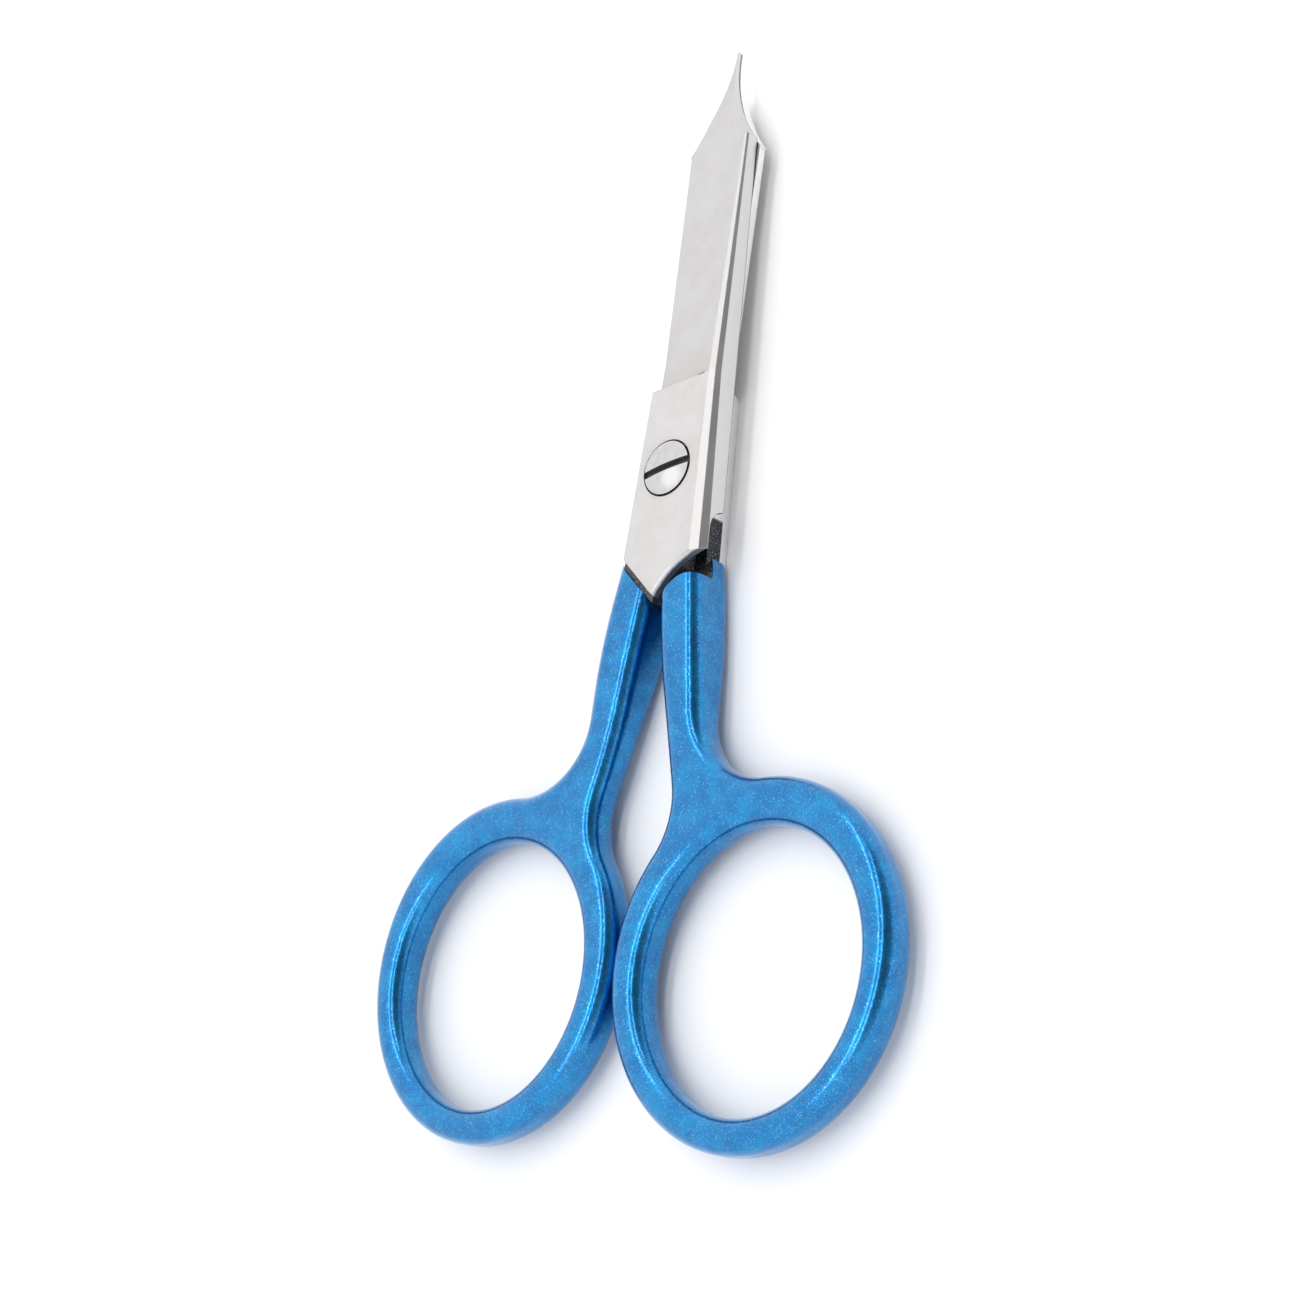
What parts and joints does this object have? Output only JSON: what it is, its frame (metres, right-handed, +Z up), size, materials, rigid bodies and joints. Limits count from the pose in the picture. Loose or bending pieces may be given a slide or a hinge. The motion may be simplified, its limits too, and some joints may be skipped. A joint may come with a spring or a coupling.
{
  "type": "thread snips",
  "caption": "Small embroidery scissors with two enamelled finger bows, a slotted pivot screw and short blades ground to needle tips for snipping thread.",
  "frame": {"origin": "on the pivot screw's axis, at the back face of the rear plate, where the closed scissors lie on a table", "axes": "+Y along the closed blades to the tips, +X towards the rear half's finger bow, +Z up from the table along the screw towards its slotted head"},
  "size_m": [0.0644, 0.1141, 0.0061],
  "materials": {
    "polished_steel": "bright polished, faint grinding lines",
    "screw_steel": "polished",
    "blue_enamel": "glossy clear coat over fine silver flake"
  },
  "bodies": {
    "rear": {"rear_half": "polished_steel", "rear_handle_enamel": "blue_enamel", "pivot_screw": "screw_steel"},
    "front": {"front_half": "polished_steel", "front_handle_enamel": "blue_enamel"}
  },
  "joints": [
    {"name": "blade_pivot", "type": "hinge", "parent": "rear", "child": "front", "pos_m": [0, 0, 0.0029], "axis": [0, 0, -1], "range_deg": [0, 70]}
  ]
}
